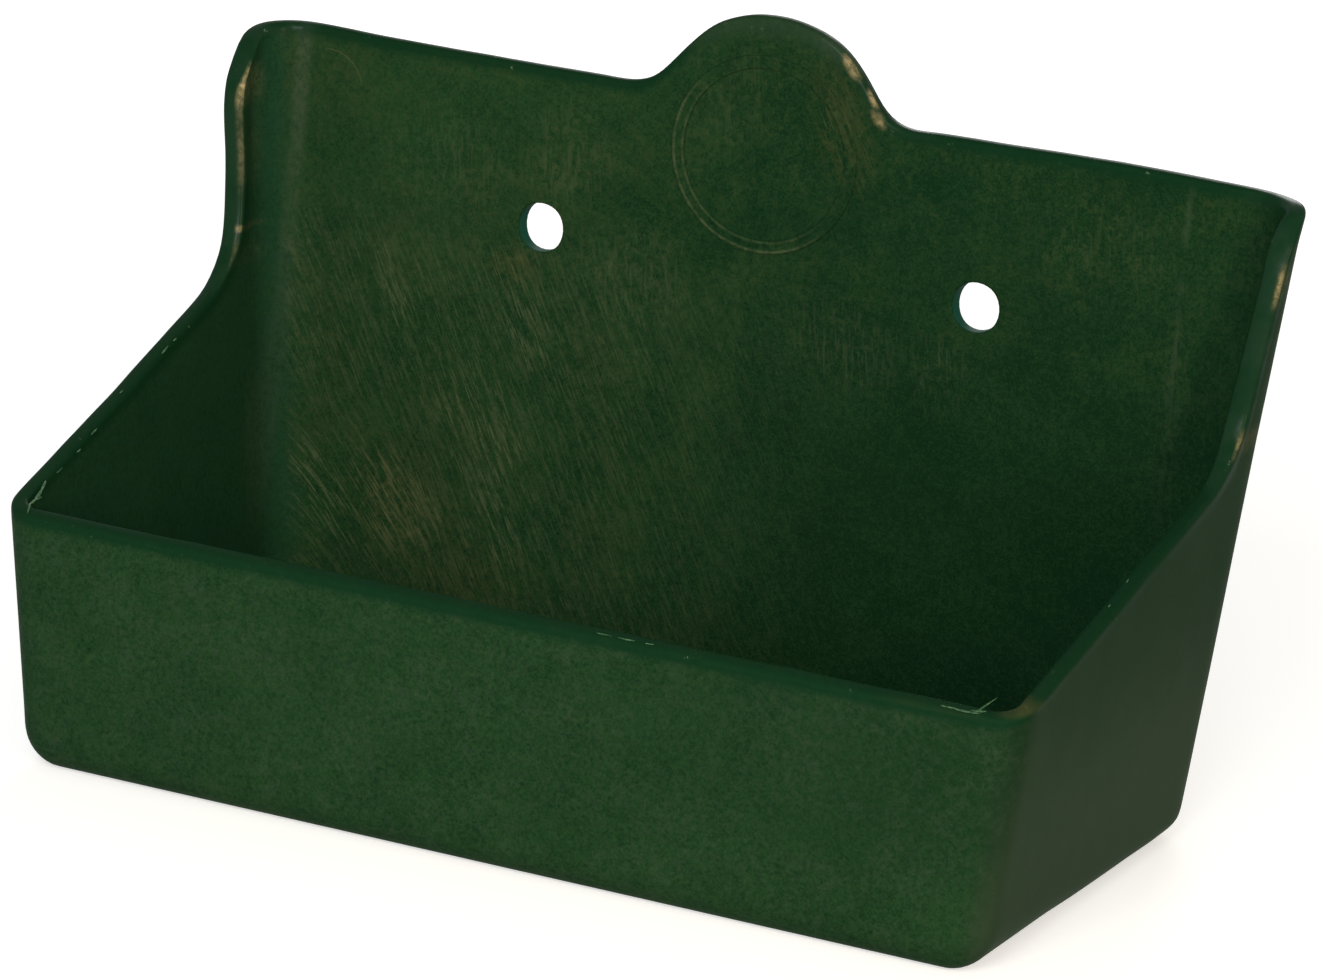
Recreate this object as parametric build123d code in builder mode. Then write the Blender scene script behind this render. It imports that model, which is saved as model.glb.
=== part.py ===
"""A wall-hung livestock mineral feeder, moulded in one piece with a low front and a tall back."""

import os
from math import radians, tan

from build123d import *

# Millimetres. X runs along the wall and the back face lies on Y = 0, with the open front facing -Y.
# Z = 0 is the height of the two mounting holes, and X = 0 is midway between them.

# Body, measured on its outer planes before the corners are rounded. Heights are above the underside.
back_width = 340.0
depth = 164.5
back_height = 190.5
front_height = 75.5
side_draft = 5.65
front_draft = 3.1
plan_taper = 0.9

# Wall thicknesses
wall = 5.3
back_wall = 5.5
floor_wall = 5.5

# Corner radii, outside and inside
back_corner_radius = 20.0
front_corner_radius = 11.0
foot_radius = 12.0
inner_back_radius = 16.0
inner_front_radius = 6.0
inner_foot_radius = 7.0

# Side profile: a straight rim rises to the neck, and a narrow flange goes on to the top edge
neck_depth = 31.2
neck_height = 116.9
neck_radius = 24.0
flange_depth = 21.0
flange_radius = 16.5

# Round tab in the middle of the top edge
tab_centre_height = 175.7
tab_radius = 40.8
tab_fillet = 14.0

# Plain raised ring band on the front of the tab, as a badge
badge_radius = 29.2
badge_ring_width = 3.6
badge_relief = 0.6

# Mounting holes
hole_diameter = 15.0
hole_spacing = 139.3
hole_height = 142.0

# Rounded edges of the rim and of the holes
rim_edge_radius = 1.8
hole_edge_radius = 0.8

# How far a cutting shape reaches past the body
reach = 40.0

# The heights again, as levels in the part's own frame
underside = -hole_height
front_level = front_height - hole_height
neck_level = neck_height - hole_height
top_level = back_height - hole_height
tab_level = tab_centre_height - hole_height


def side_plane(side, inset):
    """Outer plane of one side wall, moved inwards by the inset."""
    outward = Vector(side, -tan(radians(plan_taper)), -tan(radians(side_draft)))
    return Plane(origin=(side * back_width / 2, 0, top_level), z_dir=outward).offset(-inset)


def front_plane(inset):
    """Outer plane of the front wall, moved inwards by the inset."""
    outward = Vector(0, -1, -tan(radians(front_draft)))
    return Plane(origin=(0, -depth, underside), z_dir=outward).offset(-inset)


def tapered_block(bottom, top, inset, back_inset, back_radius, front_radius, edge_radius):
    """A block between two levels with drafted sides, rounded uprights and a rounded foot."""
    with BuildPart() as block:
        with Locations((0, -back_inset, bottom)):
            Box(2 * back_width, 2 * depth, top - bottom, align=(Align.CENTER, Align.MAX, Align.MIN))
        for plane in (front_plane(inset), side_plane(-1, inset), side_plane(1, inset)):
            split(bisect_by=plane, keep=Keep.BOTTOM)
        fillet(block.edges().group_by(Axis.Z)[1].sort_by(Axis.Y)[:2], radius=front_radius)
        fillet(block.edges().group_by(Axis.Z)[1].sort_by(Axis.Y)[-2:], radius=back_radius)
        fillet(block.faces().sort_by(Axis.Z)[0].edges(), radius=edge_radius)
    return block.part


block_top = top_level + reach
floor_level = underside + floor_wall

with BuildPart() as feeder_shell:
    add(tapered_block(underside, block_top, 0, 0, back_corner_radius, front_corner_radius, foot_radius))
    hollow = tapered_block(
        floor_level, block_top + reach, wall, back_wall, inner_back_radius, inner_front_radius, inner_foot_radius
    )
    add(hollow, mode=Mode.SUBTRACT)

    # Side profile, cut straight across from one side to the other
    front_edge = -(depth + front_height * tan(radians(front_draft)))
    rim_slope = (neck_level - front_level) / (-neck_depth - front_edge)
    cut_start = front_edge - reach
    with BuildSketch(Plane.YZ):
        with BuildLine():
            FilletPolyline(
                (cut_start, front_level - rim_slope * reach),
                (-neck_depth, neck_level),
                (-flange_depth, top_level),
                (reach, top_level),
                radius=[neck_radius, flange_radius],
            )
            Polyline(
                (reach, top_level),
                (reach, block_top + 2 * reach),
                (cut_start, block_top + 2 * reach),
                (cut_start, front_level - rim_slope * reach),
            )
        make_face()
    extrude(amount=back_width, both=True, mode=Mode.SUBTRACT)

    # Tab, as thick as the back and flush with both its faces
    with BuildSketch(Plane.XZ) as tab_outline:
        with Locations((0, top_level)):
            Rectangle(4 * tab_radius, tab_radius, align=(Align.CENTER, Align.MAX))
        with Locations((0, tab_level)):
            Circle(tab_radius)
        fillet(tab_outline.vertices().group_by(Axis.Y)[-1].sort_by(Axis.X)[1:3], radius=tab_fillet)
    extrude(amount=back_wall)

    # Rounded rim: each of the front wall's two long edges carries on round the whole opening
    long_edges = feeder_shell.edges().filter_by(Axis.X)
    fillet(
        long_edges.filter_by_position(Axis.Z, front_level - wall, front_level + wall),
        radius=rim_edge_radius,
    )

    # Mounting holes, with their front edges broken
    with BuildSketch(Plane.XZ):
        with GridLocations(hole_spacing, 0, 2, 1):
            Circle(hole_diameter / 2)
    extrude(amount=back_wall, mode=Mode.SUBTRACT)
    hole_edges = feeder_shell.edges().filter_by(GeomType.CIRCLE)
    hole_edges = hole_edges.filter_by_position(Axis.Z, -hole_edge_radius, hole_edge_radius)
    fillet(hole_edges.sort_by(Axis.Y)[:2], radius=hole_edge_radius)

    # Badge: a plain raised ring band on the front face of the tab
    with BuildSketch(Plane.XZ.offset(back_wall)):
        with Locations((0, tab_level)):
            Circle(badge_radius)
            Circle(badge_radius - badge_ring_width, mode=Mode.SUBTRACT)
    extrude(amount=badge_relief)

feeder_shell.part.label = "feeder_shell"

os.makedirs("parts", exist_ok=True)
export_step(feeder_shell.part, "parts/feeder_shell.step")
print("feeder_shell", round(feeder_shell.part.volume), "mm3", feeder_shell.part.bounding_box().size)
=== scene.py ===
from math import cos, pi, radians, sin, sqrt, tan

import bmesh
import bpy
from mathutils import Matrix, Vector, noise


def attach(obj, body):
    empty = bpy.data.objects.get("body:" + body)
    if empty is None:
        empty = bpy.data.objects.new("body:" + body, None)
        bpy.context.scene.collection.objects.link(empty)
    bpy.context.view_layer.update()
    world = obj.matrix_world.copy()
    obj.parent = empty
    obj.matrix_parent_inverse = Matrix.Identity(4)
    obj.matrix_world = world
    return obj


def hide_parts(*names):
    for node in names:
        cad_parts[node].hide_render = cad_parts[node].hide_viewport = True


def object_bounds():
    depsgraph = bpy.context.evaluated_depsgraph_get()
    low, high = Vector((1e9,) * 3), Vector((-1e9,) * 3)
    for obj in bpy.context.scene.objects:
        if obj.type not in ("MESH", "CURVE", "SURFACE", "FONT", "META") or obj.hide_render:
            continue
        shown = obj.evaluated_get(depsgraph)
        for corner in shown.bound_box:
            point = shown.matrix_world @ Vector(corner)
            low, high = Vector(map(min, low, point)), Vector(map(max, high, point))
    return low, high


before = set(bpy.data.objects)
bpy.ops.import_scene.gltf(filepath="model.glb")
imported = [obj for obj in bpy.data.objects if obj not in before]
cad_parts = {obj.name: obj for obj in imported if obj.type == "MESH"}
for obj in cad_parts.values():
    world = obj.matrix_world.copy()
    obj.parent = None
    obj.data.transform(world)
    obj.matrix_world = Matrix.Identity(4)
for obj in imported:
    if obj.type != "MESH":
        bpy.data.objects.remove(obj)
lowFrame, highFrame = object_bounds()
scene = bpy.context.scene
scene.view_settings.view_transform = "Standard"
noise.seed_set(5)  # mathutils noise is shifted by the clock otherwise
print("frame loaded, box", [round(v, 4) for v in lowFrame], [round(v, 4) for v in highFrame])

# Camera, found by laying the outline of the CAD model over the picture
cameraValues = {
    "azimuth": 23.581,
    "elevation": 15.683,
    "roll": 4.599,
    "distance": 1.86217,
    "target": (0.0000, -0.060, -0.0555),
    "lens": 176.65,
}


def makeCamera(values):
    azimuth = radians(values["azimuth"])
    elevation = radians(values["elevation"])
    roll = radians(values["roll"])
    back = Vector((sin(azimuth) * cos(elevation), -cos(azimuth) * cos(elevation), sin(elevation)))
    place = Vector(values["target"]) + values["distance"] * back
    level = Vector((0, 0, 1)).cross(back).normalized()
    plumb = back.cross(level)
    right = cos(roll) * level + sin(roll) * plumb
    up = cos(roll) * plumb - sin(roll) * level
    data = bpy.data.cameras.new("camera")
    data.lens = values["lens"]
    data.sensor_width = 36.0
    camera = bpy.data.objects.new("camera", data)
    camera.matrix_world = Matrix.Translation(place) @ Matrix((right, up, back)).transposed().to_4x4()
    scene.collection.objects.link(camera)
    scene.camera = camera


makeCamera(cameraValues)
print("camera placed")

# Moulded body. Outer sizes are taken on the flat faces before the corners are rounded, as in the CAD part
bodyValues = {
    "width": 0.3398,
    "depth": 0.1645,
    "underside": -0.142,
    "top": 0.0485,
    "frontRim": -0.0665,
    "neckRim": -0.0251,
    "sideDraft": 5.65,
    "frontDraft": 3.1,
    "planTaper": 0.9,
    "wall": 0.0054,
    "backRadius": 0.020,
    "frontRadius": 0.011,
    "footRadius": 0.012,
    "frontFoot": 0.0088,
    "backFoot": 0.006,
    "neckDepth": 0.0312,
    "neckRadius": 0.024,
    "earDepth": 0.0210,
    "earRadius": 0.0165,
    "tabLevel": 0.0337,
    "tabRadius": 0.0408,
    "tabFillet": 0.014,
    "holeX": 0.06965,
    "holeRadius": 0.0075,
    "rimRadius": 0.0018,
    "holeEdge": 0.0007,
    "holeTaper": 0.90,
    "lip": 0.0016,
    "lipReach": 0.0070,
}

body = bodyValues
sideSlope = tan(radians(body["sideDraft"]))
frontSlope = tan(radians(body["frontDraft"]))
planSlope = tan(radians(body["planTaper"]))
planLength = sqrt(1 + planSlope**2)


def roundedCorner(before, corner, after, radius):  # centre, first and last point of the arc, in side view
    corner = Vector(corner)
    first = (Vector(before) - corner).normalized()
    last = (Vector(after) - corner).normalized()
    half = first.angle(last) / 2
    return corner + (first + last).normalized() * radius / sin(half), corner + first * radius / tan(half), (
        corner + last * radius / tan(half)
    )


frontEdge = -(body["depth"] + (body["frontRim"] - body["underside"]) * frontSlope)
sidePath = (
    (frontEdge, body["frontRim"]),
    (-body["neckDepth"], body["neckRim"]),
    (-body["earDepth"], body["top"]),
    (0.05, body["top"]),
)
rimSlope = (body["neckRim"] - body["frontRim"]) / (-body["neckDepth"] - frontEdge)
neckCentre, neckFirst, neckLast = roundedCorner(*sidePath[:3], body["neckRadius"])
earCentre, earFirst, earLast = roundedCorner(*sidePath[1:], body["earRadius"])
neckTurn = neckCentre + body["neckRadius"] * Vector((sin(radians(50)), -cos(radians(50))))
earTurn = earCentre + body["earRadius"] * Vector((-sin(radians(55)), cos(radians(55))))
tabRise = body["top"] + body["tabFillet"] - body["tabLevel"]
tabRoot = sqrt((body["tabRadius"] + body["tabFillet"]) ** 2 - tabRise**2)
tabTouch = tabRoot * body["tabRadius"] / (body["tabRadius"] + body["tabFillet"])


def rimHeight(y):  # the sloping rim, then the hollow of the neck
    if y < neckFirst.x:
        return body["neckRim"] + (y + body["neckDepth"]) * rimSlope
    return neckCentre.y - sqrt(body["neckRadius"] ** 2 - (y - neckCentre.x) ** 2)


def flangeDepth(z):  # the steep front edge of the flange above the neck
    z = min(max(z, neckTurn.y), earTurn.y)
    if z < neckLast.y:
        return neckCentre.x + sqrt(body["neckRadius"] ** 2 - (z - neckCentre.y) ** 2)
    if z < earFirst.y:
        return neckLast.x + (z - neckLast.y) * (earFirst.x - neckLast.x) / (earFirst.y - neckLast.y)
    return earCentre.x - sqrt(body["earRadius"] ** 2 - (z - earCentre.y) ** 2)


def earHeight(y):
    if y > earCentre.x:
        return body["top"]
    return earCentre.y + sqrt(max(body["earRadius"] ** 2 - (y - earCentre.x) ** 2, 0))


def tabHeight(x):
    if abs(x) < tabTouch:
        return body["tabLevel"] + sqrt(body["tabRadius"] ** 2 - x**2)
    if abs(x) < tabRoot:
        return body["top"] + body["tabFillet"] - sqrt(body["tabFillet"] ** 2 - (abs(x) - tabRoot) ** 2)
    return body["top"]


# Columns round half of the outline, from the middle of the back to the middle of the front
columns = [("back", 0.05865 * i / 20) for i in range(20)]
columns += [("back", 0.05865 + 0.022 * i / 4) for i in range(4)]
columns += [("back", 0.08065 + 0.04335 * i / 8) for i in range(8)]
columns += [("corner", i / 4) for i in range(4)]
columns += [("ear", i / 10) for i in range(11)]
columns += [("side", i / 18) for i in range(1, 18)]
columns += [("turn", i / 7) for i in range(8)]
columns += [("front", i / 28) for i in range(1, 29)]
lowRows = 16
middleRows = (-0.0165, -0.011, -0.0055, 0.0, 0.0055, 0.011)
highRows = 8


def outlinePoint(column, z, inset=0.0):  # the outer face of one column at one height
    kind, share = columns[column]
    half = body["width"] / 2 + (z - body["top"]) * sideSlope - inset
    front = body["depth"] + (z - body["underside"]) * frontSlope - inset
    backRadius = max(body["backRadius"] - inset, 0.0005)
    frontRadius = max(body["frontRadius"] - inset, 0.0005)
    backY = -inset - backRadius
    backX = half + planSlope * backY - backRadius * planLength
    frontY = frontRadius - front
    frontX = half + planSlope * frontY - frontRadius * planLength
    if kind == "back":
        return Vector((share, -inset, z))
    if kind == "corner":
        return Vector((0.124 + (backX - 0.124) * share, -inset, z))
    if kind == "ear":
        sweep = pi / 2 + radians(body["planTaper"])
        flatFrom = backY + backRadius * cos(sweep)
        run = share * (backRadius * sweep + (flatFrom - flangeDepth(z)) * planLength)
        if run < backRadius * sweep:
            angle = run / backRadius
            return Vector((backX + backRadius * sin(angle), backY + backRadius * cos(angle), z))
        y = flatFrom - (run - backRadius * sweep) / planLength
        return Vector((half + planSlope * y, y, z))
    if kind == "side":
        lastY = frontY - frontRadius * planSlope / planLength
        y = neckTurn.x + (lastY - neckTurn.x) * share
        return Vector((half + planSlope * y, y, z))
    if kind == "turn":
        angle = -radians(body["planTaper"]) + (radians(body["planTaper"]) - pi / 2) * share
        return Vector((frontX + frontRadius * cos(angle), frontY + frontRadius * sin(angle), z))
    return Vector((frontX * (1 - share), -front, z))


def footPoint(column, share):  # down the rounding of the foot, which is tighter at the back corners
    kind, part = columns[column]
    full = body["footRadius"]
    radius = body["frontFoot"]
    if kind in ("corner", "ear"):
        radius = body["backFoot"]
    elif kind == "back":
        radius = full - (full - body["backFoot"]) * min(max((part - 0.080) / 0.044, 0), 1)
    elif kind == "side":
        radius = full - (full - body["backFoot"]) * max(1 - part / 0.6, 0)
    elif kind == "turn":
        radius += (full - radius) * (1 - part)
    straight = full - radius
    run = share * (straight + radius * pi / 2)
    base = body["underside"] + full
    if run < straight:
        return outlinePoint(column, base - run)
    angle = (run - straight) / radius
    return outlinePoint(column, base - straight - radius * sin(angle), radius * (1 - cos(angle)))


def rimPoint(column):  # where the column meets the rim
    kind, share = columns[column]
    point = outlinePoint(column, 0.0)
    for step in range(4):
        if kind in ("back", "corner"):
            point = outlinePoint(column, tabHeight(point.x))
        elif kind == "ear":
            point = outlinePoint(column, earHeight(point.y))
        else:
            point = outlinePoint(column, rimHeight(point.y))
    return point


def wallPoint(column, row):
    base = body["underside"] + body["footRadius"]
    tall = columns[column][0] in ("back", "corner", "ear")
    rim = rimPoint(column).z
    if row <= lowRows:
        lift = neckTurn.y if tall else rim
        return outlinePoint(column, base + (lift - base) * row / lowRows)
    if row <= lowRows + len(middleRows):
        return outlinePoint(column, middleRows[row - lowRows - 1])
    share = (row - lowRows - len(middleRows)) / highRows
    return outlinePoint(column, middleRows[-1] + (rim - middleRows[-1]) * share)


def thickenLip(point):  # the flange's front edge is a thicker, rounder lip, swelling inwards
    x, y, z = point
    if z < neckTurn.y - 0.004 or abs(x) < 0.135 or y > -0.004:
        return point
    outer = body["width"] / 2 + (z - body["top"]) * sideSlope + planSlope * y
    inner = min(max((outer - abs(x) - 0.0022) / 0.0032, 0), 1)
    back = min(max((y - flangeDepth(z) - 0.0015) / body["lipReach"], 0), 1)
    along = min(max((z - neckTurn.y + 0.004) / 0.012, 0), 1) * min(max((0.0500 - z) / 0.006, 0), 1)
    swell = body["lip"] * inner * along * (1 - back * back * (3 - 2 * back))
    return Vector((x - swell if x > 0 else x + swell, y, z))


# Moulding faults: a wavy rim, a slight bend right of the panel, and places pushed out of true
faultValues = {
    "rimWave": 0.00030,
    "wallWave": 0.00025,
    "bendFrom": 0.129,
    "bendWidth": 0.014,
    "bendDepth": 0.0007,
    "pushes": [  # place, reach, move
        ((0.166, -0.011, 0.0485), 0.012, (0.0010, -0.0004, 0.0002)),  # right ear points outwards
        ((0.112, -0.003, 0.0485), 0.050, (0.0, 0.0, 0.0006)),
        ((-0.167, -0.024, 0.0270), 0.024, (0.0, -0.0022, 0.0)),  # left ear bulges forward
        ((-0.168, -0.012, 0.0420), 0.022, (0.0012, 0.0, 0.0)),
        ((-0.150, -0.004, 0.0485), 0.022, (0.0, 0.0, 0.0005)),
        ((-0.032, -0.003, 0.0610), 0.018, (0.0010, 0.0, -0.0016)),  # tab, softer on its sides
        ((0.036, -0.003, 0.0580), 0.020, (-0.0011, 0.0, -0.0012)),
        ((-0.160, -0.050, -0.0300), 0.045, (0.0, 0.0, 0.0010)),  # left rim, a little high
        ((0.150, -0.010, -0.1420), 0.095, (0.0, 0.0, 0.0027)),  # right end of the foot, drawn up
    ],
}


def unevenPoint(point, onRim):
    values = faultValues
    moved = Vector(point)
    if onRim:
        wave = noise.noise_vector(moved * 38) + 0.5 * noise.noise_vector(moved * 110)
        moved += wave * values["rimWave"]
        moved.y = min(moved.y, 0)
    elif moved.y < -0.002 and moved.z > body["underside"] + 0.014:
        wave = noise.noise_vector(moved * 14)
        moved += Vector((wave.x, wave.y, 0)) * values["wallWave"]
    if moved.x > values["bendFrom"] and moved.z > -0.09:
        share = min((moved.x - values["bendFrom"]) / values["bendWidth"], 1)
        moved.y -= values["bendDepth"] * share * min((moved.z + 0.09) / 0.04, 1)
    for place, reach, move in values["pushes"]:
        near = (Vector(point) - Vector(place)).length / reach
        if near < 1:
            moved += Vector(move) * (1 - near**2) ** 2
    return Vector(min(max(v, low), high) for v, low, high in zip(moved, lowFrame, highFrame))


def buildBody():
    rows = lowRows + len(middleRows) + highRows
    bm = bmesh.new()
    columnLayer = bm.verts.layers.int.new("column")
    rimLayer = bm.verts.layers.float.new("rim")
    columnLayer = bm.verts.layers.int["column"]
    bmesh.ops.create_grid(bm, x_segments=len(columns) - 1, y_segments=rows, size=1.0)
    above = []
    for vert in bm.verts:
        column = round((vert.co.x + 1) / 2 * (len(columns) - 1))
        row = round((vert.co.y + 1) / 2 * rows)
        vert[columnLayer] = column
        if row > lowRows and columns[column][0] not in ("back", "corner", "ear"):
            above.append(vert)
        vert.co = wallPoint(column, row)
    bmesh.ops.delete(bm, geom=above, context="VERTS")

    # Foot, rolled under ring by ring
    base = body["underside"] + body["footRadius"]
    ring = [e for e in bm.edges if all(abs(v.co.z - base) < 1e-5 for v in e.verts)]
    for step in range(1, 7):
        made = bmesh.ops.extrude_edge_only(bm, edges=ring)["geom"]
        ring = [g for g in made if isinstance(g, bmesh.types.BMEdge)]
        for vert in (g for g in made if isinstance(g, bmesh.types.BMVert)):
            vert.co = footPoint(vert[columnLayer], step / 6)

    # Hole for one of the wall screws
    hole = Vector((body["holeX"], 0, 0))
    patch = [f for f in bm.faces if f.normal.y and (f.calc_center_median() - hole).length < 0.0125
             and max(abs(f.calc_center_median().x - hole.x), abs(f.calc_center_median().z)) < 0.0108]
    bmesh.ops.delete(bm, geom=patch, context="FACES")
    loop = [e for e in bm.edges if e.is_boundary and all((v.co - hole).length < 0.0165 for v in e.verts)]
    for radius in (0.0096, body["holeRadius"] * 1.008):
        made = bmesh.ops.extrude_edge_only(bm, edges=loop)["geom"]
        loop = [g for g in made if isinstance(g, bmesh.types.BMEdge)]
        for vert in (g for g in made if isinstance(g, bmesh.types.BMVert)):
            vert.co = hole + (vert.co - hole).normalized() * radius

    # The other half, and the middle of the floor
    bmesh.ops.mirror(bm, geom=bm.verts[:] + bm.edges[:] + bm.faces[:], axis="X", merge_dist=0.00005)
    bmesh.ops.remove_doubles(bm, verts=bm.verts, dist=0.00002)
    loop = [e for e in bm.edges if e.is_boundary and all(v.co.z < body["underside"] + 0.0001 for v in e.verts)]
    bmesh.ops.contextual_create(bm, geom=loop)
    cuts = [(Vector((0.012 * i, 0, 0)), Vector((1, 0, 0))) for i in range(-11, 12)]
    cuts += [(Vector((0, -0.012 * i, 0)), Vector((0, 1, 0))) for i in range(1, 14)]
    for point, direction in cuts:
        flat = [f for f in bm.faces if all(abs(v.co.z - body["underside"]) < 0.00001 for v in f.verts)]
        near = flat + list({e for f in flat for e in f.edges}) + list({v for f in flat for v in f.verts})
        bmesh.ops.bisect_plane(bm, geom=near, dist=0.0008, plane_co=point, plane_no=direction)
    bmesh.ops.recalc_face_normals(bm, faces=bm.faces)
    floorFace = min(bm.faces, key=lambda f: f.calc_center_median().z)
    if floorFace.normal.z > 0:
        bmesh.ops.reverse_faces(bm, faces=bm.faces)
    print("outer skin", len(bm.faces), "faces")

    # Wall thickness, then the rim is cut level across the wall
    bmesh.ops.solidify(bm, geom=bm.faces[:], thickness=body["wall"])
    sharp = [e for e in bm.edges if len(e.link_faces) == 2 and e.calc_face_angle() > radians(50)]
    rimEdges = []
    holeEdges = []
    for edge in sharp:
        middle = (edge.verts[0].co + edge.verts[1].co) / 2
        byHole = (Vector((abs(middle.x), 0, middle.z)) - hole).length < 0.012
        (holeEdges if byHole else rimEdges).append(edge)
    for vert in {v for e in rimEdges for v in e.verts}:
        x, y, z = vert.co
        if abs(x) < 0.124 and y > -0.012:
            vert.co.z = tabHeight(x)
        elif z > earTurn.y - 0.0005:
            vert.co.z = earHeight(y)
        elif z > neckTurn.y:
            vert.co.y = flangeDepth(z)
        else:
            vert.co.z = rimHeight(y)
    for vert in {v for e in holeEdges for v in e.verts if v.co.y > -0.001}:  # the holes narrow towards the wall
        side = hole.x if vert.co.x > 0 else -hole.x
        vert.co.x = side + (vert.co.x - side) * body["holeTaper"]
    print("walls", len(bm.faces), "faces,", len(rimEdges), "rim edges,", len(holeEdges), "hole edges")

    made = bmesh.ops.bevel(bm, geom=rimEdges, offset=body["rimRadius"], offset_type="OFFSET", segments=3,
                           profile=0.5, affect="EDGES", material=-1, loop_slide=True, clamp_overlap=False)
    for vert in made["verts"]:
        vert[rimLayer] = 1.0
    holeEdges = [e for e in holeEdges if e.is_valid]
    bmesh.ops.bevel(bm, geom=holeEdges, offset=body["holeEdge"], offset_type="OFFSET", segments=2,
                    profile=0.5, affect="EDGES", material=-1, loop_slide=True, clamp_overlap=False)
    for vert in bm.verts:
        vert.co = unevenPoint(thickenLip(vert.co), vert[rimLayer])
    for face in bm.faces:
        face.smooth = True
    mesh = bpy.data.meshes.new("feederShell")
    bm.to_mesh(mesh)
    bm.free()
    piece = bpy.data.objects.new("feederShell", mesh)
    scene.collection.objects.link(piece)
    smoothing = piece.modifiers.new("smoothing", "SUBSURF")
    smoothing.levels = 1
    smoothing.render_levels = 1
    return piece


shell = buildBody()
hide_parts("feeder_shell")
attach(shell, "root")
print("body built")

# Badge: a plain raised band, left without any sign
badgeValues = {
    "centre": (0, -0.0054, 0.0337),
    "outer": 0.0292,
    "inner": 0.0256,
    "edge": 0.00055,
    "middle": 0.00035,
    "steps": 128,
}


def buildBadge(values):
    bm = bmesh.new()
    centre = Vector(values["centre"])
    profile = [
        (values["outer"] + 0.0004, -0.0003),
        (values["outer"] + 0.0001, values["edge"] * 0.7),
        (values["outer"] - 0.0003, values["edge"]),
        (values["outer"] - 0.0009, values["middle"]),
        (values["inner"] + 0.0009, values["middle"]),
        (values["inner"] + 0.0003, values["edge"]),
        (values["inner"] - 0.0001, values["edge"] * 0.7),
        (values["inner"] - 0.0004, -0.0003),
    ]
    line = [bm.verts.new(centre + Vector((radius, -rise, 0))) for radius, rise in profile]
    edges = [bm.edges.new(pair) for pair in zip(line, line[1:] + line[:1])]
    bmesh.ops.spin(bm, geom=line + edges, cent=centre, axis=(0, 1, 0), angle=2 * pi,
                   steps=values["steps"], use_merge=True, use_duplicate=False)
    bmesh.ops.remove_doubles(bm, verts=bm.verts, dist=0.00001)
    bmesh.ops.recalc_face_normals(bm, faces=bm.faces)
    for face in bm.faces:
        face.smooth = True
    mesh = bpy.data.meshes.new("badgeBand")
    bm.to_mesh(mesh)
    bm.free()
    piece = bpy.data.objects.new("badgeBand", mesh)
    scene.collection.objects.link(piece)
    return piece


badge = buildBadge(badgeValues)
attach(badge, "root")
print("badge built")

# Shavings left on the rim. Each one: x, y, length, width, turn in plan, tilt. Height comes from the rim
shavingValues = {
    "thickness": 0.0004,
    "sit": 0.0002,
    "pieces": [
        (-0.1497, -0.1535, 0.0060, 0.0008, 107, 0),
        (-0.1486, -0.1580, 0.0056, 0.0012, 102, 0),
        (-0.1479, -0.1601, 0.0034, 0.0006, 60, 0),
        (-0.1483, -0.1617, 0.0046, 0.0009, 86, 0),
        (-0.1475, -0.1650, 0.0056, 0.0006, 112, 0),
        (-0.1497, -0.1445, 0.0034, 0.0004, 88, 0),
        (-0.1500, -0.1335, 0.0024, 0.0005, 88, 0),
        (-0.1512, -0.1230, 0.0040, 0.0005, 91, 0),
        (-0.1550, -0.1010, 0.0020, 0.0005, 86, 0),
        (-0.1549, -0.0760, 0.0038, 0.0007, 84, 14),
        (-0.1551, -0.0700, 0.0022, 0.0006, 95, -8),
        (0.0330, -0.1674, 0.0042, 0.0004, 2, 0),
        (0.0400, -0.1675, 0.0056, 0.0005, -3, 1),
        (0.0470, -0.1674, 0.0026, 0.0004, 5, 0),
        (0.1400, -0.1676, 0.0080, 0.0013, 4, 0),
        (0.1428, -0.1664, 0.0046, 0.0018, 30, 0),
        (0.1428, -0.1655, 0.0116, 0.0009, 34, 38),
        (0.1345, -0.1674, 0.0050, 0.0006, 2, 0),
        (0.1556, -0.1080, 0.0014, 0.0004, 86, 5),
        (0.1555, -0.0950, 0.0020, 0.0003, 92, 0),
    ],
}


def buildShavings(values):
    bm = bmesh.new()
    for number, (x, y, length, width, turn, tilt) in enumerate(values["pieces"]):
        made = bmesh.ops.create_icosphere(bm, subdivisions=2, radius=0.5)["verts"]
        for vert in made:
            bow = 0.25 * (vert.co.x * 2) ** 2  # each one curls up a little at its ends
            ragged = noise.noise_vector(vert.co * 3 + Vector((number * 7.3, 0, 0))) * 0.22
            vert.co = Vector((vert.co.x * length, vert.co.y * width, (vert.co.z + bow) * values["thickness"]))
            vert.co += Vector((ragged.x * width, ragged.y * width, ragged.z * values["thickness"]))
        place = Matrix.Translation((x, y, rimHeight(y) + values["sit"]))
        place = place @ Matrix.Rotation(radians(turn), 4, "Z") @ Matrix.Rotation(radians(-tilt), 4, "Y")
        if abs(turn) > 45:  # along a side rim, which rises towards the wall
            place = place @ Matrix.Rotation(-rimSlope, 4, "Y")
        bmesh.ops.transform(bm, matrix=place, verts=made)
    for face in bm.faces:
        face.smooth = True
    mesh = bpy.data.meshes.new("rimShavings")
    bm.to_mesh(mesh)
    bm.free()
    piece = bpy.data.objects.new("rimShavings", mesh)
    scene.collection.objects.link(piece)
    return piece


shavings = buildShavings(shavingValues)
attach(shavings, "root")
print("shavings built")

def addNode(tree, kind, inputs=None, **settings):
    made = tree.nodes.new("ShaderNode" + kind)
    for name, value in settings.items():
        setattr(made, name, value)
    for name, value in (inputs or {}).items():
        if isinstance(value, bpy.types.NodeSocket):
            tree.links.new(value, made.inputs[name])
        else:
            made.inputs[name].default_value = value
    return made


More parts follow.
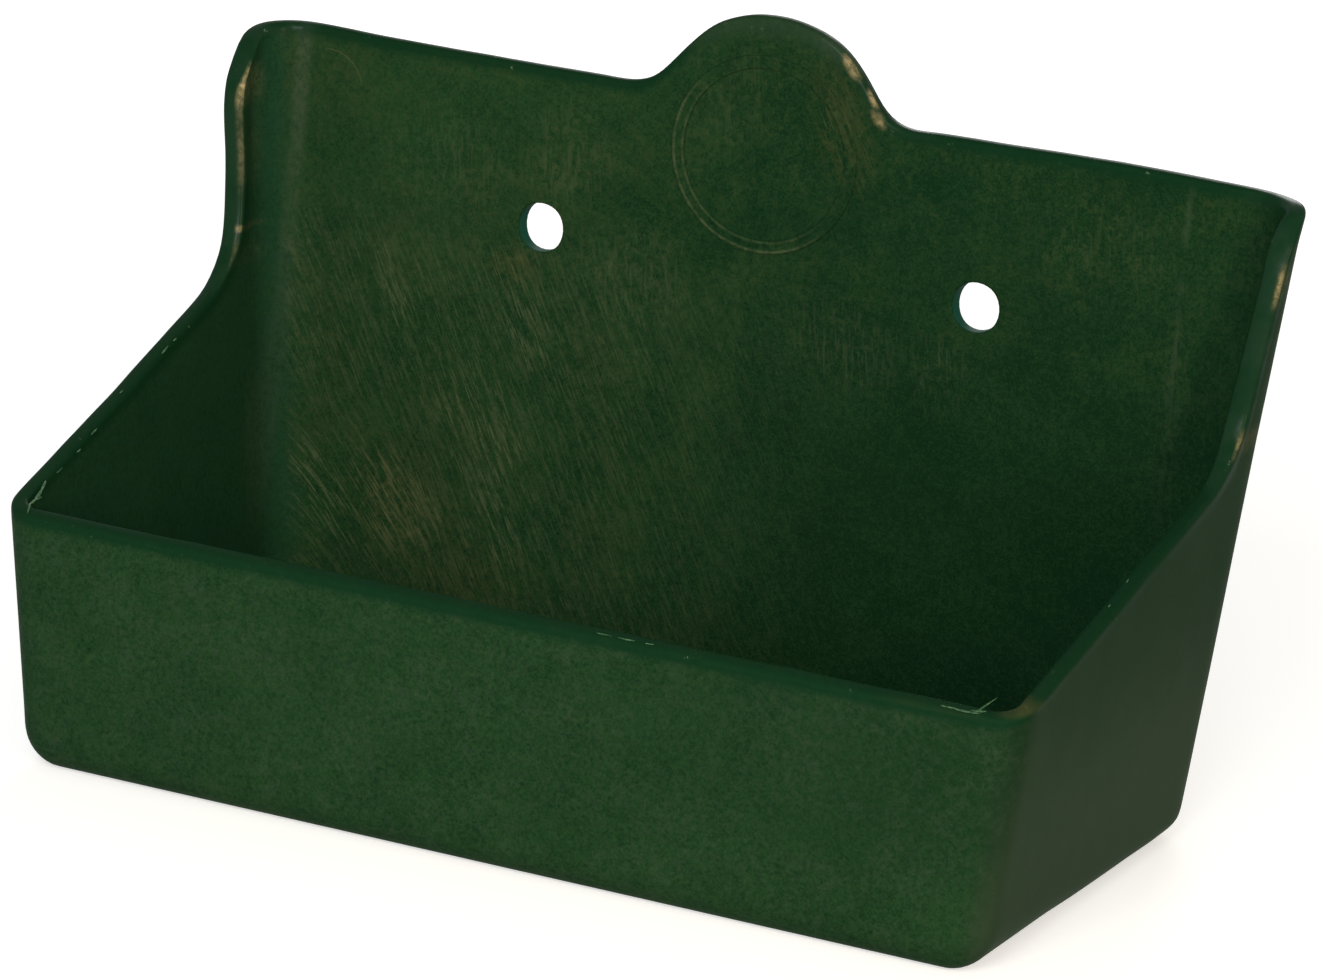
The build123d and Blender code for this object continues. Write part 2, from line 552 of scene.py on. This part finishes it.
def noiseAt(tree, coordinates, scale, detail=3.0, roughness=0.55, distortion=0.0):
    made = addNode(tree, "TexNoise", {"Vector": coordinates, "Scale": scale, "Detail": detail,
                                      "Roughness": roughness, "Distortion": distortion})
    return made.outputs["Fac"]


def spread(tree, value, low, high, toLow=0.0, toHigh=1.0):  # smooth step from one level to another
    made = addNode(tree, "MapRange", {"Value": value, "From Min": low, "From Max": high,
                                      "To Min": toLow, "To Max": toHigh}, interpolation_type="SMOOTHSTEP")
    return made.outputs["Result"]


def combine(tree, operation, first, second):
    return addNode(tree, "Math", {0: first, 1: second}, operation=operation).outputs[0]


def product(tree, *values):
    result = values[0]
    for value in values[1:]:
        result = combine(tree, "MULTIPLY", result, value)
    return result


def blendColour(tree, share, first, second):
    made = addNode(tree, "Mix", {0: share, 6: first, 7: second}, data_type="RGBA")
    return made.outputs[2]


def streaks(tree, coordinates, lean, width, length, seed):  # fine lines in one direction on the XZ plane
    turned = addNode(tree, "Mapping", {"Vector": coordinates, "Location": (seed, 0, 0),
                                       "Rotation": (0, radians(lean), 0), "Scale": (width, 0.02, length)},
                     vector_type="TEXTURE")
    return noiseAt(tree, turned.outputs[0], 1.0, 4.0, 0.6, 0.15)


plasticValues = {
    "deep": (0.0045, 0.0225, 0.0085, 1),
    "mid": (0.0160, 0.0510, 0.0170, 1),
    # pale dusty green, used for dust and for painted highlights, reflections and bounce light
    "dustAndPaintedLight": (0.043, 0.069, 0.042, 1),
    "tan": (0.088, 0.085, 0.032, 1),
    "scratch": (0.072, 0.098, 0.048, 1),
    "olive": (0.030, 0.054, 0.019, 1),
    "cream": (0.160, 0.150, 0.070, 1),
    "rimTeal": (0.0040, 0.0260, 0.0100, 1),
    "boreTeal": (0.010, 0.075, 0.055, 1),
    "white": (0.20, 0.28, 0.18, 1),
    "paintedHighlight": (0.42, 0.34, 0.17, 1),
    "litLeftWall": (0.0105, 0.0470, 0.0260, 1),
    # darker green for the outer side, painted shade
    "side": (0.0068, 0.0255, 0.0080, 1),
    "specular": 0.01,
    "coatRoughness": 0.22,
    "bump": 0.40,
    "bundles": [  # x, z, half width, half length, lean, share of the scratches gathered there
        (-0.115, -0.027, 0.009, 0.020, -27, 0.8),
        (-0.072, -0.030, 0.010, 0.020, -25, 0.8),
        (-0.085, -0.064, 0.020, 0.026, -28, 0.9),
        (-0.077, -0.094, 0.011, 0.022, -32, 0.8),
        (-0.110, -0.092, 0.017, 0.026, -38, 1.0),
        (-0.134, -0.094, 0.010, 0.030, -38, 0.8),
        (-0.045, -0.050, 0.014, 0.030, -25, 0.4),
    ],
    "scuffs": [
        (-0.100, 0.014, 0.026, 0.020, -6, 0.4),
        (-0.062, 0.022, 0.016, 0.018, -8, 0.5),
        (-0.040, -0.010, 0.020, 0.018, -10, 0.5),
        (0.106, 0.024, 0.026, 0.018, 5, 0.25),
        (0.030, -0.018, 0.022, 0.014, 10, 0.4),
        (-0.010, 0.050, 0.018, 0.018, 0, 0.25),
        (0.133, -0.010, 0.006, 0.036, 3, 0.2),
        (0.060, -0.020, 0.010, 0.014, 0, 0.4),
    ],
    "paintedHighlightSpots": [  # painted highlights on the rounded edges, where a warm lamp would glint
        (-0.164, 0.031, 0.008, 0.007, 0, 1.0),
        (-0.164, 0.012, 0.008, 0.016, 0, 0.25),
        (-0.164, -0.011, 0.008, 0.0016, 0, 1.0),
        (-0.164, -0.019, 0.008, 0.006, 0, 0.6),
        (0.0250, 0.0636, 0.0018, 0.0045, -40, 0.8),
        (0.0330, 0.0560, 0.0020, 0.0038, -28, 1.0),
        (0.0348, 0.0498, 0.0018, 0.0034, -40, 0.8),
        (0.165, 0.027, 0.008, 0.006, 0, 0.6),
        (0.165, -0.018, 0.008, 0.004, 0, 0.6),
    ],
    "cornerWearAndHighlight": [  # on the rim at the front right corner: tan wear at the corner, and a thin painted highlight along the front rim
        (0.1520, -0.0642, 0.0056, 0.0019, 0, 0.9),
        (0.1300, -0.0668, 0.0180, 0.0010, 0, 0.12),
    ],
    "stains": [
        (-0.110, -0.093, 0.018, 0.022, -30, 1.0),
        (-0.078, -0.013, 0.009, 0.007, -20, 1.0),
        (-0.090, -0.110, 0.030, 0.012, 0, 0.5),
        (-0.152, 0.032, 0.004, 0.012, 0, 0.4),
        (0.024, 0.046, 0.010, 0.022, -20, 0.7),
    ],
}


def places(tree, coordinates, spots):  # soft oval areas on the XZ plane, the strongest one counting
    found = 0.0
    for x, z, halfWidth, halfLength, lean, share in spots:
        oval = addNode(tree, "Mapping", {"Vector": coordinates, "Location": (x, 0, z),
                                         "Rotation": (0, radians(lean), 0),
                                         "Scale": (halfWidth, 10.0, halfLength)}, vector_type="TEXTURE")
        far = addNode(tree, "VectorMath", {0: oval.outputs[0]}, operation="LENGTH").outputs["Value"]
        found = combine(tree, "MAXIMUM", found, spread(tree, far, 1.3, 0.3, 0.0, share))
    return found


def ringShare(tree, coordinates, centre, radius, width):  # a thin ring on the XZ plane
    flat = addNode(tree, "Mapping", {"Vector": coordinates, "Location": centre, "Scale": (1, 1000, 1)},
                   vector_type="TEXTURE")
    far = addNode(tree, "VectorMath", {0: flat.outputs[0]}, operation="LENGTH").outputs["Value"]
    off = combine(tree, "ABSOLUTE", combine(tree, "SUBTRACT", far, radius), 0.0)
    return spread(tree, off, width, width * 0.3)


def greenPlastic(values):
    material = bpy.data.materials.new("greenPlastic")
    material.use_nodes = True
    tree = material.node_tree
    shader = tree.nodes["Principled BSDF"]
    coordinates = addNode(tree, "TexCoord")
    place = coordinates.outputs["Object"]
    xyz = addNode(tree, "SeparateXYZ", {0: place})
    normal = addNode(tree, "SeparateXYZ", {0: coordinates.outputs["Normal"]})
    x, y, z = xyz.outputs

    # Where the finishes change
    facesFront = spread(tree, normal.outputs[1], -0.6, -0.85)
    panel = product(tree, facesFront, spread(tree, y, -0.012, -0.009))
    frontFace = spread(tree, y, -0.155, -0.162)
    outerSide = product(tree, spread(tree, normal.outputs[0], 0.3, 0.9), spread(tree, x, 0.140, 0.144))
    rim = addNode(tree, "Attribute", attribute_name="rim").outputs["Fac"]
    leftShare = spread(tree, x, 0.060, -0.080)
    highShare = spread(tree, z, -0.070, 0.030)
    used = combine(tree, "MAXIMUM", leftShare, product(tree, highShare, 0.20))  # how worn the panel is
    # Behind the front wall, wherever the panel is not worn, the mottle is darker and smoother: partly clean plastic,
    # partly painted shade of the lower right inside
    cleanAndShaded = product(tree, spread(tree, y, -0.150, -0.130), combine(tree, "SUBTRACT", 1.0, used))

    # Mottled moulding, with light and shade painted onto some faces
    clouds = noiseAt(tree, place, 24.0, 3.0, 0.6)
    patches = noiseAt(tree, place, 85.0, 3.0, 0.65)
    grain = noiseAt(tree, place, 620.0, 2.0, 0.75)
    speck = noiseAt(tree, place, 1300.0, 1.0, 0.5)
    fleck = noiseAt(tree, place, 420.0, 3.0, 0.8, 0.3)
    mottle = combine(tree, "ADD", spread(tree, clouds, 0.3, 0.7, -0.06, 0.18), spread(tree, patches, 0.3, 0.7, 0, 0.18))
    mottle = combine(tree, "ADD", mottle, spread(tree, grain, 0.32, 0.68, 0, 0.42))
    mottle = combine(tree, "ADD", mottle, spread(tree, speck, 0.32, 0.68, 0, 0.42))
    mottle = combine(tree, "SUBTRACT", mottle, product(tree, cleanAndShaded, 0.34))
    mottle = product(tree, mottle, combine(tree, "SUBTRACT", 1.0, product(tree, cleanAndShaded, 0.25)))
    colour = blendColour(tree, mottle, values["deep"], values["mid"])
    # Painted shade: the outer side takes a darker copy of the green
    colour = blendColour(tree, product(tree, outerSide, spread(tree, speck, 0.3, 0.7, 0.98, 0.72)), colour, values["side"])
    # Painted light: the outer side grows paler towards the bottom, as bounce from the floor would make it
    colour = blendColour(tree, product(tree, outerSide, spread(tree, z, -0.050, -0.120), 0.46), colour, values["dustAndPaintedLight"])

    # Painted light: the inner face of the left wall is made a lighter, bluer green in flecks
    litLeftWall = product(tree, spread(tree, normal.outputs[0], 0.3, 0.9), spread(tree, x, -0.130, -0.140))
    colour = blendColour(tree, product(tree, litLeftWall, spread(tree, fleck, 0.35, 0.62, 0.20, 0.70)), colour, values["litLeftWall"])
    shade = product(tree, frontFace, spread(tree, x, 0.000, 0.130), spread(tree, z, -0.128, -0.100))
    colour = blendColour(tree, product(tree, shade, 0.45), colour, values["deep"])

    # Dust haze on the front
    haze = spread(tree, noiseAt(tree, place, 60.0, 5.0, 0.75, 0.5), 0.36, 0.72, 0.25, 1.0)
    haze = product(tree, frontFace, haze, spread(tree, fleck, 0.40, 0.62, 0.1, 1.0))
    colour = blendColour(tree, product(tree, haze, 0.36), colour, values["dustAndPaintedLight"])

    # Scratches and worn tint on the back panel, a painted reflection down the left inner corner and a painted highlight
    # along the bend
    fine = spread(tree, streaks(tree, place, -27, 0.0006, 0.009, 0.0), 0.50, 0.62)
    broad = spread(tree, streaks(tree, place, -29, 0.0015, 0.014, 0.3), 0.48, 0.64)
    low = spread(tree, streaks(tree, place, -40, 0.0007, 0.011, 0.6), 0.50, 0.62)
    upright = spread(tree, streaks(tree, place, -6, 0.0009, 0.007, 0.9), 0.50, 0.64)
    lowerLeft = product(tree, spread(tree, x, -0.085, -0.125), spread(tree, z, -0.050, -0.085))
    slanted = combine(tree, "MAXIMUM", fine, product(tree, broad, 0.6))
    slanted = blendColour(tree, lowerLeft, slanted, low)
    bundles = combine(tree, "MAXIMUM", places(tree, place, values["bundles"]),
                      product(tree, leftShare, spread(tree, z, 0.012, -0.022), 0.42))
    scratches = product(tree, panel, bundles, slanted, spread(tree, fleck, 0.35, 0.55, 0.45, 1.0))
    blotches = spread(tree, noiseAt(tree, place, 40.0, 5.0, 0.75), 0.40, 0.66)
    worn = product(tree, panel, used, blotches, spread(tree, fleck, 0.38, 0.60, 0.2, 1.0))
    dapple = product(tree, panel, highShare, spread(tree, fleck, 0.46, 0.64), spread(tree, patches, 0.40, 0.62))
    scuffs = product(tree, panel, places(tree, place, values["scuffs"]),
                     combine(tree, "MAXIMUM", upright, product(tree, spread(tree, fleck, 0.50, 0.66), 0.7)))
    stains = combine(tree, "MAXIMUM", slanted, product(tree, spread(tree, fleck, 0.45, 0.62), 0.7))
    stains = product(tree, stains, places(tree, place, values["stains"]))
    inFront = product(tree, spread(tree, y, -0.030, -0.025), spread(tree, y, -0.0015, -0.0035))
    stains = product(tree, stains, inFront)
    # Painted reflection: a pale upright band down the left inner corner, stronger towards the top
    paintedCornerSheen = combine(tree, "ABSOLUTE", combine(tree, "SUBTRACT", x, -0.1515), 0.0)
    paintedCornerSheen = product(tree, spread(tree, paintedCornerSheen, 0.0032, 0.0008), inFront,
                         spread(tree, z, -0.015, 0.038, 0.45, 1.0), spread(tree, fleck, 0.35, 0.62, 0.4, 1.0))
    # Painted highlight: a thin pale line along the slight bend on the right of the panel, on its upper part
    bendHighlight = combine(tree, "ABSOLUTE", combine(tree, "SUBTRACT", x, 0.1315), 0.0)
    bendHighlight = product(tree, panel, spread(tree, bendHighlight, 0.0014, 0.0002), spread(tree, patches, 0.40, 0.60), highShare)
    curl = product(tree, panel, ringShare(tree, place, (-0.1430, 0, 0.0310), 0.0115, 0.00025),
                   spread(tree, x, -0.1450, -0.1435), spread(tree, z, 0.032, 0.036))
    colour = blendColour(tree, product(tree, worn, 0.45), colour, values["olive"])
    colour = blendColour(tree, product(tree, dapple, 0.35), colour, values["olive"])
    colour = blendColour(tree, product(tree, scuffs, 0.55), colour, values["scratch"])
    colour = blendColour(tree, product(tree, scratches, 0.85), colour, values["scratch"])
    colour = blendColour(tree, product(tree, stains, 0.38), colour, values["tan"])
    colour = blendColour(tree, product(tree, paintedCornerSheen, 0.60), colour, values["dustAndPaintedLight"])
    colour = blendColour(tree, product(tree, bendHighlight, 0.30), colour, values["dustAndPaintedLight"])
    colour = blendColour(tree, product(tree, curl, 0.2), colour, values["cream"])

    # Badge, rubbed paler along the left and lower part of its band
    onBadge = combine(tree, "MAXIMUM", ringShare(tree, place, (0, 0, 0.0337), 0.0288, 0.0007),
                      product(tree, ringShare(tree, place, (0, 0, 0.0337), 0.0260, 0.0006), 0.6))
    rubbedAndHighlit = spread(tree, combine(tree, "ADD", x, z), 0.040, 0.012)
    onBadge = product(tree, onBadge, rubbedAndHighlit, spread(tree, y, -0.0054, -0.0056), spread(tree, fleck, 0.36, 0.60, 0.3, 1.0))
    colour = blendColour(tree, product(tree, onBadge, 0.55), colour, values["scratch"])

    # Rim, smoother and bluer, painted highlights on its edges, and the bores of the holes
    colour = blendColour(tree, product(tree, rim, spread(tree, z, 0.055, 0.070, 0.85, 0.30)), colour, values["rimTeal"])
    # Painted highlight: a soft pale line along the rim on top of the tab
    colour = blendColour(tree, product(tree, rim, spread(tree, z, 0.058, 0.069), 0.25), colour, values["dustAndPaintedLight"])
    # Tan wear at the front right corner of the rim, and a faint painted highlight along the front rim
    cornerWearAndHighlight = product(tree, rim, places(tree, place, values["cornerWearAndHighlight"]), spread(tree, y, -0.150, -0.156))
    cornerWearAndHighlight = product(tree, cornerWearAndHighlight, spread(tree, patches, 0.30, 0.60, 0.4, 1.0))
    colour = blendColour(tree, product(tree, cornerWearAndHighlight, 0.45), colour, values["tan"])
    # Painted highlight: cream on the rounded edges of the flanges and the tab that face towards (0.60, -0.78, 0.17),
    # and faintly on right-facing faces near the back
    aside = addNode(tree, "VectorMath", {0: coordinates.outputs["Normal"], 1: (0.60, -0.78, 0.17)},
                    operation="DOT_PRODUCT").outputs["Value"]
    onTab = product(tree, spread(tree, z, 0.040, 0.046), spread(tree, aside, 0.60, 0.92))
    rubbedAndHighlit = combine(tree, "MAXIMUM", product(tree, rim, spread(tree, aside, 0.84, 0.985)), onTab)
    rubbedAndHighlit = combine(tree, "MAXIMUM", rubbedAndHighlit,
                     product(tree, spread(tree, normal.outputs[0], 0.40, 0.90), spread(tree, y, -0.012, -0.017), 0.13))
    paintedHighlightSpots = product(tree, rubbedAndHighlit, places(tree, place, values["paintedHighlightSpots"]),
                     spread(tree, fleck, 0.34, 0.60, 0.3, 1.0), spread(tree, patches, 0.35, 0.60, 0.4, 1.0))
    colour = blendColour(tree, paintedHighlightSpots, colour, values["paintedHighlight"])
    nicks = product(tree, rim, spread(tree, fleck, 0.66, 0.76), spread(tree, patches, 0.45, 0.60))
    colour = blendColour(tree, product(tree, nicks, 0.5), colour, values["white"])
    besideHole = addNode(tree, "CombineXYZ", {0: combine(tree, "SUBTRACT", combine(tree, "ABSOLUTE", x, 0.0), 0.06965), 2: z})
    besideHole = addNode(tree, "VectorMath", {0: besideHole.outputs[0]}, operation="LENGTH").outputs["Value"]
    bore = product(tree, spread(tree, besideHole, 0.0079, 0.0073), spread(tree, y, -0.0052, -0.0040))
    colour = blendColour(tree, product(tree, bore, 0.8), colour, values["boreTeal"])
    tree.links.new(colour, shader.inputs["Base Color"])

    # Gloss, high only along the edges of the flanges and the tab
    rough = combine(tree, "ADD", spread(tree, patches, 0.3, 0.7, 0.50, 0.54), product(tree, scratches, 0.12))
    rough = combine(tree, "SUBTRACT", rough, product(tree, rim, 0.10))
    tree.links.new(rough, shader.inputs["Roughness"])
    flange = product(tree, spread(tree, combine(tree, "ABSOLUTE", x, 0.0), 0.145, 0.152), spread(tree, z, -0.040, -0.015))
    flank = spread(tree, combine(tree, "ABSOLUTE", combine(tree, "SUBTRACT", x, 0.033), 0.0), 0.024, 0.012)
    flank = product(tree, flank, spread(tree, z, 0.044, 0.050))
    polish = combine(tree, "MAXIMUM", flange, flank)
    polish = product(tree, rim, polish, spread(tree, patches, 0.35, 0.60, 0.04, 0.14))
    tree.links.new(polish, shader.inputs["Coat Weight"])
    shader.inputs["Coat Roughness"].default_value = values["coatRoughness"]
    shader.inputs["Specular IOR Level"].default_value = values["specular"]

    # Surface
    height = combine(tree, "ADD", product(tree, grain, 0.00003), product(tree, patches, 0.00007))
    height = combine(tree, "ADD", height, product(tree, clouds, 0.0002))
    height = combine(tree, "SUBTRACT", height, product(tree, scratches, 0.00005))
    bump = addNode(tree, "Bump", {"Height": height, "Strength": values["bump"], "Distance": 1.0})
    tree.links.new(bump.outputs[0], shader.inputs["Normal"])
    return material


def whitenedPlastic():  # where a burr was stretched pale
    material = bpy.data.materials.new("whitenedPlastic")
    material.use_nodes = True
    tree = material.node_tree
    shader = tree.nodes["Principled BSDF"]
    place = addNode(tree, "TexCoord").outputs["Object"]
    share = spread(tree, noiseAt(tree, place, 900.0, 2.0, 0.6), 0.35, 0.65)
    colour = blendColour(tree, share, (0.02, 0.07, 0.03, 1), (0.075, 0.165, 0.080, 1))
    tree.links.new(colour, shader.inputs["Base Color"])
    shader.inputs["Roughness"].default_value = 0.4
    shader.inputs["Specular IOR Level"].default_value = 0.1
    return material


green = greenPlastic(plasticValues)
shell.data.materials.append(green)
badge.data.materials.append(green)
shavings.data.materials.append(whitenedPlastic())
print("materials made")

studioValues = {
    "floorSize": 6.0,
    "floorColour": (0.80, 0.80, 0.79, 1),
    "floorLift": 0.55,
    "sky": 0.28,
    "lamps": {
        "keyLamp": {"place": (0.25, -1.60, 0.62), "aim": (0, -0.06, -0.05), "size": (0.8, 0.8), "power": 18.5, "colour": (1, 0.99, 0.96)},
        "warmLamp": {"place": (1.0, -0.95, 0.33), "aim": (0, -0.06, -0.05), "size": (0.05, 0.7), "power": 8, "colour": (1, 0.76, 0.44)},
        "backLamp": {"place": (-0.50, 1.80, 0.70), "aim": (0, 0, -0.05), "size": (0.8, 0.8), "power": 14, "colour": (1, 1, 1)},
    },
}


def seenDirectly(tree):  # the white ground shows to the camera and in reflections, and adds no light
    path = addNode(tree, "LightPath").outputs
    seen = combine(tree, "MAXIMUM", path["Is Camera Ray"], path["Is Glossy Ray"])
    return combine(tree, "MAXIMUM", seen, path["Is Transmission Ray"])


def makeStudio(values):
    mesh = bpy.data.meshes.new("floor")
    bm = bmesh.new()
    bmesh.ops.create_grid(bm, x_segments=1, y_segments=1, size=values["floorSize"])
    bmesh.ops.translate(bm, vec=(0, 0, lowFrame.z), verts=bm.verts)
    bm.to_mesh(mesh)
    bm.free()
    floor = bpy.data.objects.new("floor", mesh)
    scene.collection.objects.link(floor)
    paper = bpy.data.materials.new("floorPaper")
    paper.use_nodes = True
    tree = paper.node_tree
    shader = tree.nodes["Principled BSDF"]
    shader.inputs["Base Color"].default_value = values["floorColour"]
    shader.inputs["Roughness"].default_value = 0.9
    shader.inputs["Specular IOR Level"].default_value = 0.0
    shader.inputs["Emission Color"].default_value = (1, 1, 1, 1)
    seen = seenDirectly(tree)
    tree.links.new(product(tree, seen, values["floorLift"]), shader.inputs["Emission Strength"])
    floor.data.materials.append(paper)

    world = bpy.data.worlds.new("studio")
    scene.world = world
    world.use_nodes = True
    tree = world.node_tree
    soft = tree.nodes["Background"]
    soft.inputs["Color"].default_value = (1, 1, 1, 1)
    soft.inputs["Strength"].default_value = values["sky"]
    white = addNode(tree, "Background", {"Color": (1, 1, 1, 1), "Strength": 1.0})
    chosen = addNode(tree, "MixShader", {0: seenDirectly(tree), 1: soft.outputs[0], 2: white.outputs[0]})
    tree.links.new(chosen.outputs[0], tree.nodes["World Output"].inputs["Surface"])

    for name, lamp in values["lamps"].items():
        data = bpy.data.lights.new(name, "AREA")
        data.shape = "RECTANGLE"
        data.size, data.size_y = lamp["size"]
        data.energy = lamp["power"]
        data.color = lamp["colour"]
        made = bpy.data.objects.new(name, data)
        aim = Vector(lamp["aim"]) - Vector(lamp["place"])
        made.matrix_world = Matrix.Translation(lamp["place"]) @ aim.to_track_quat("-Z", "Y").to_matrix().to_4x4()
        scene.collection.objects.link(made)


makeStudio(studioValues)
print("studio made")
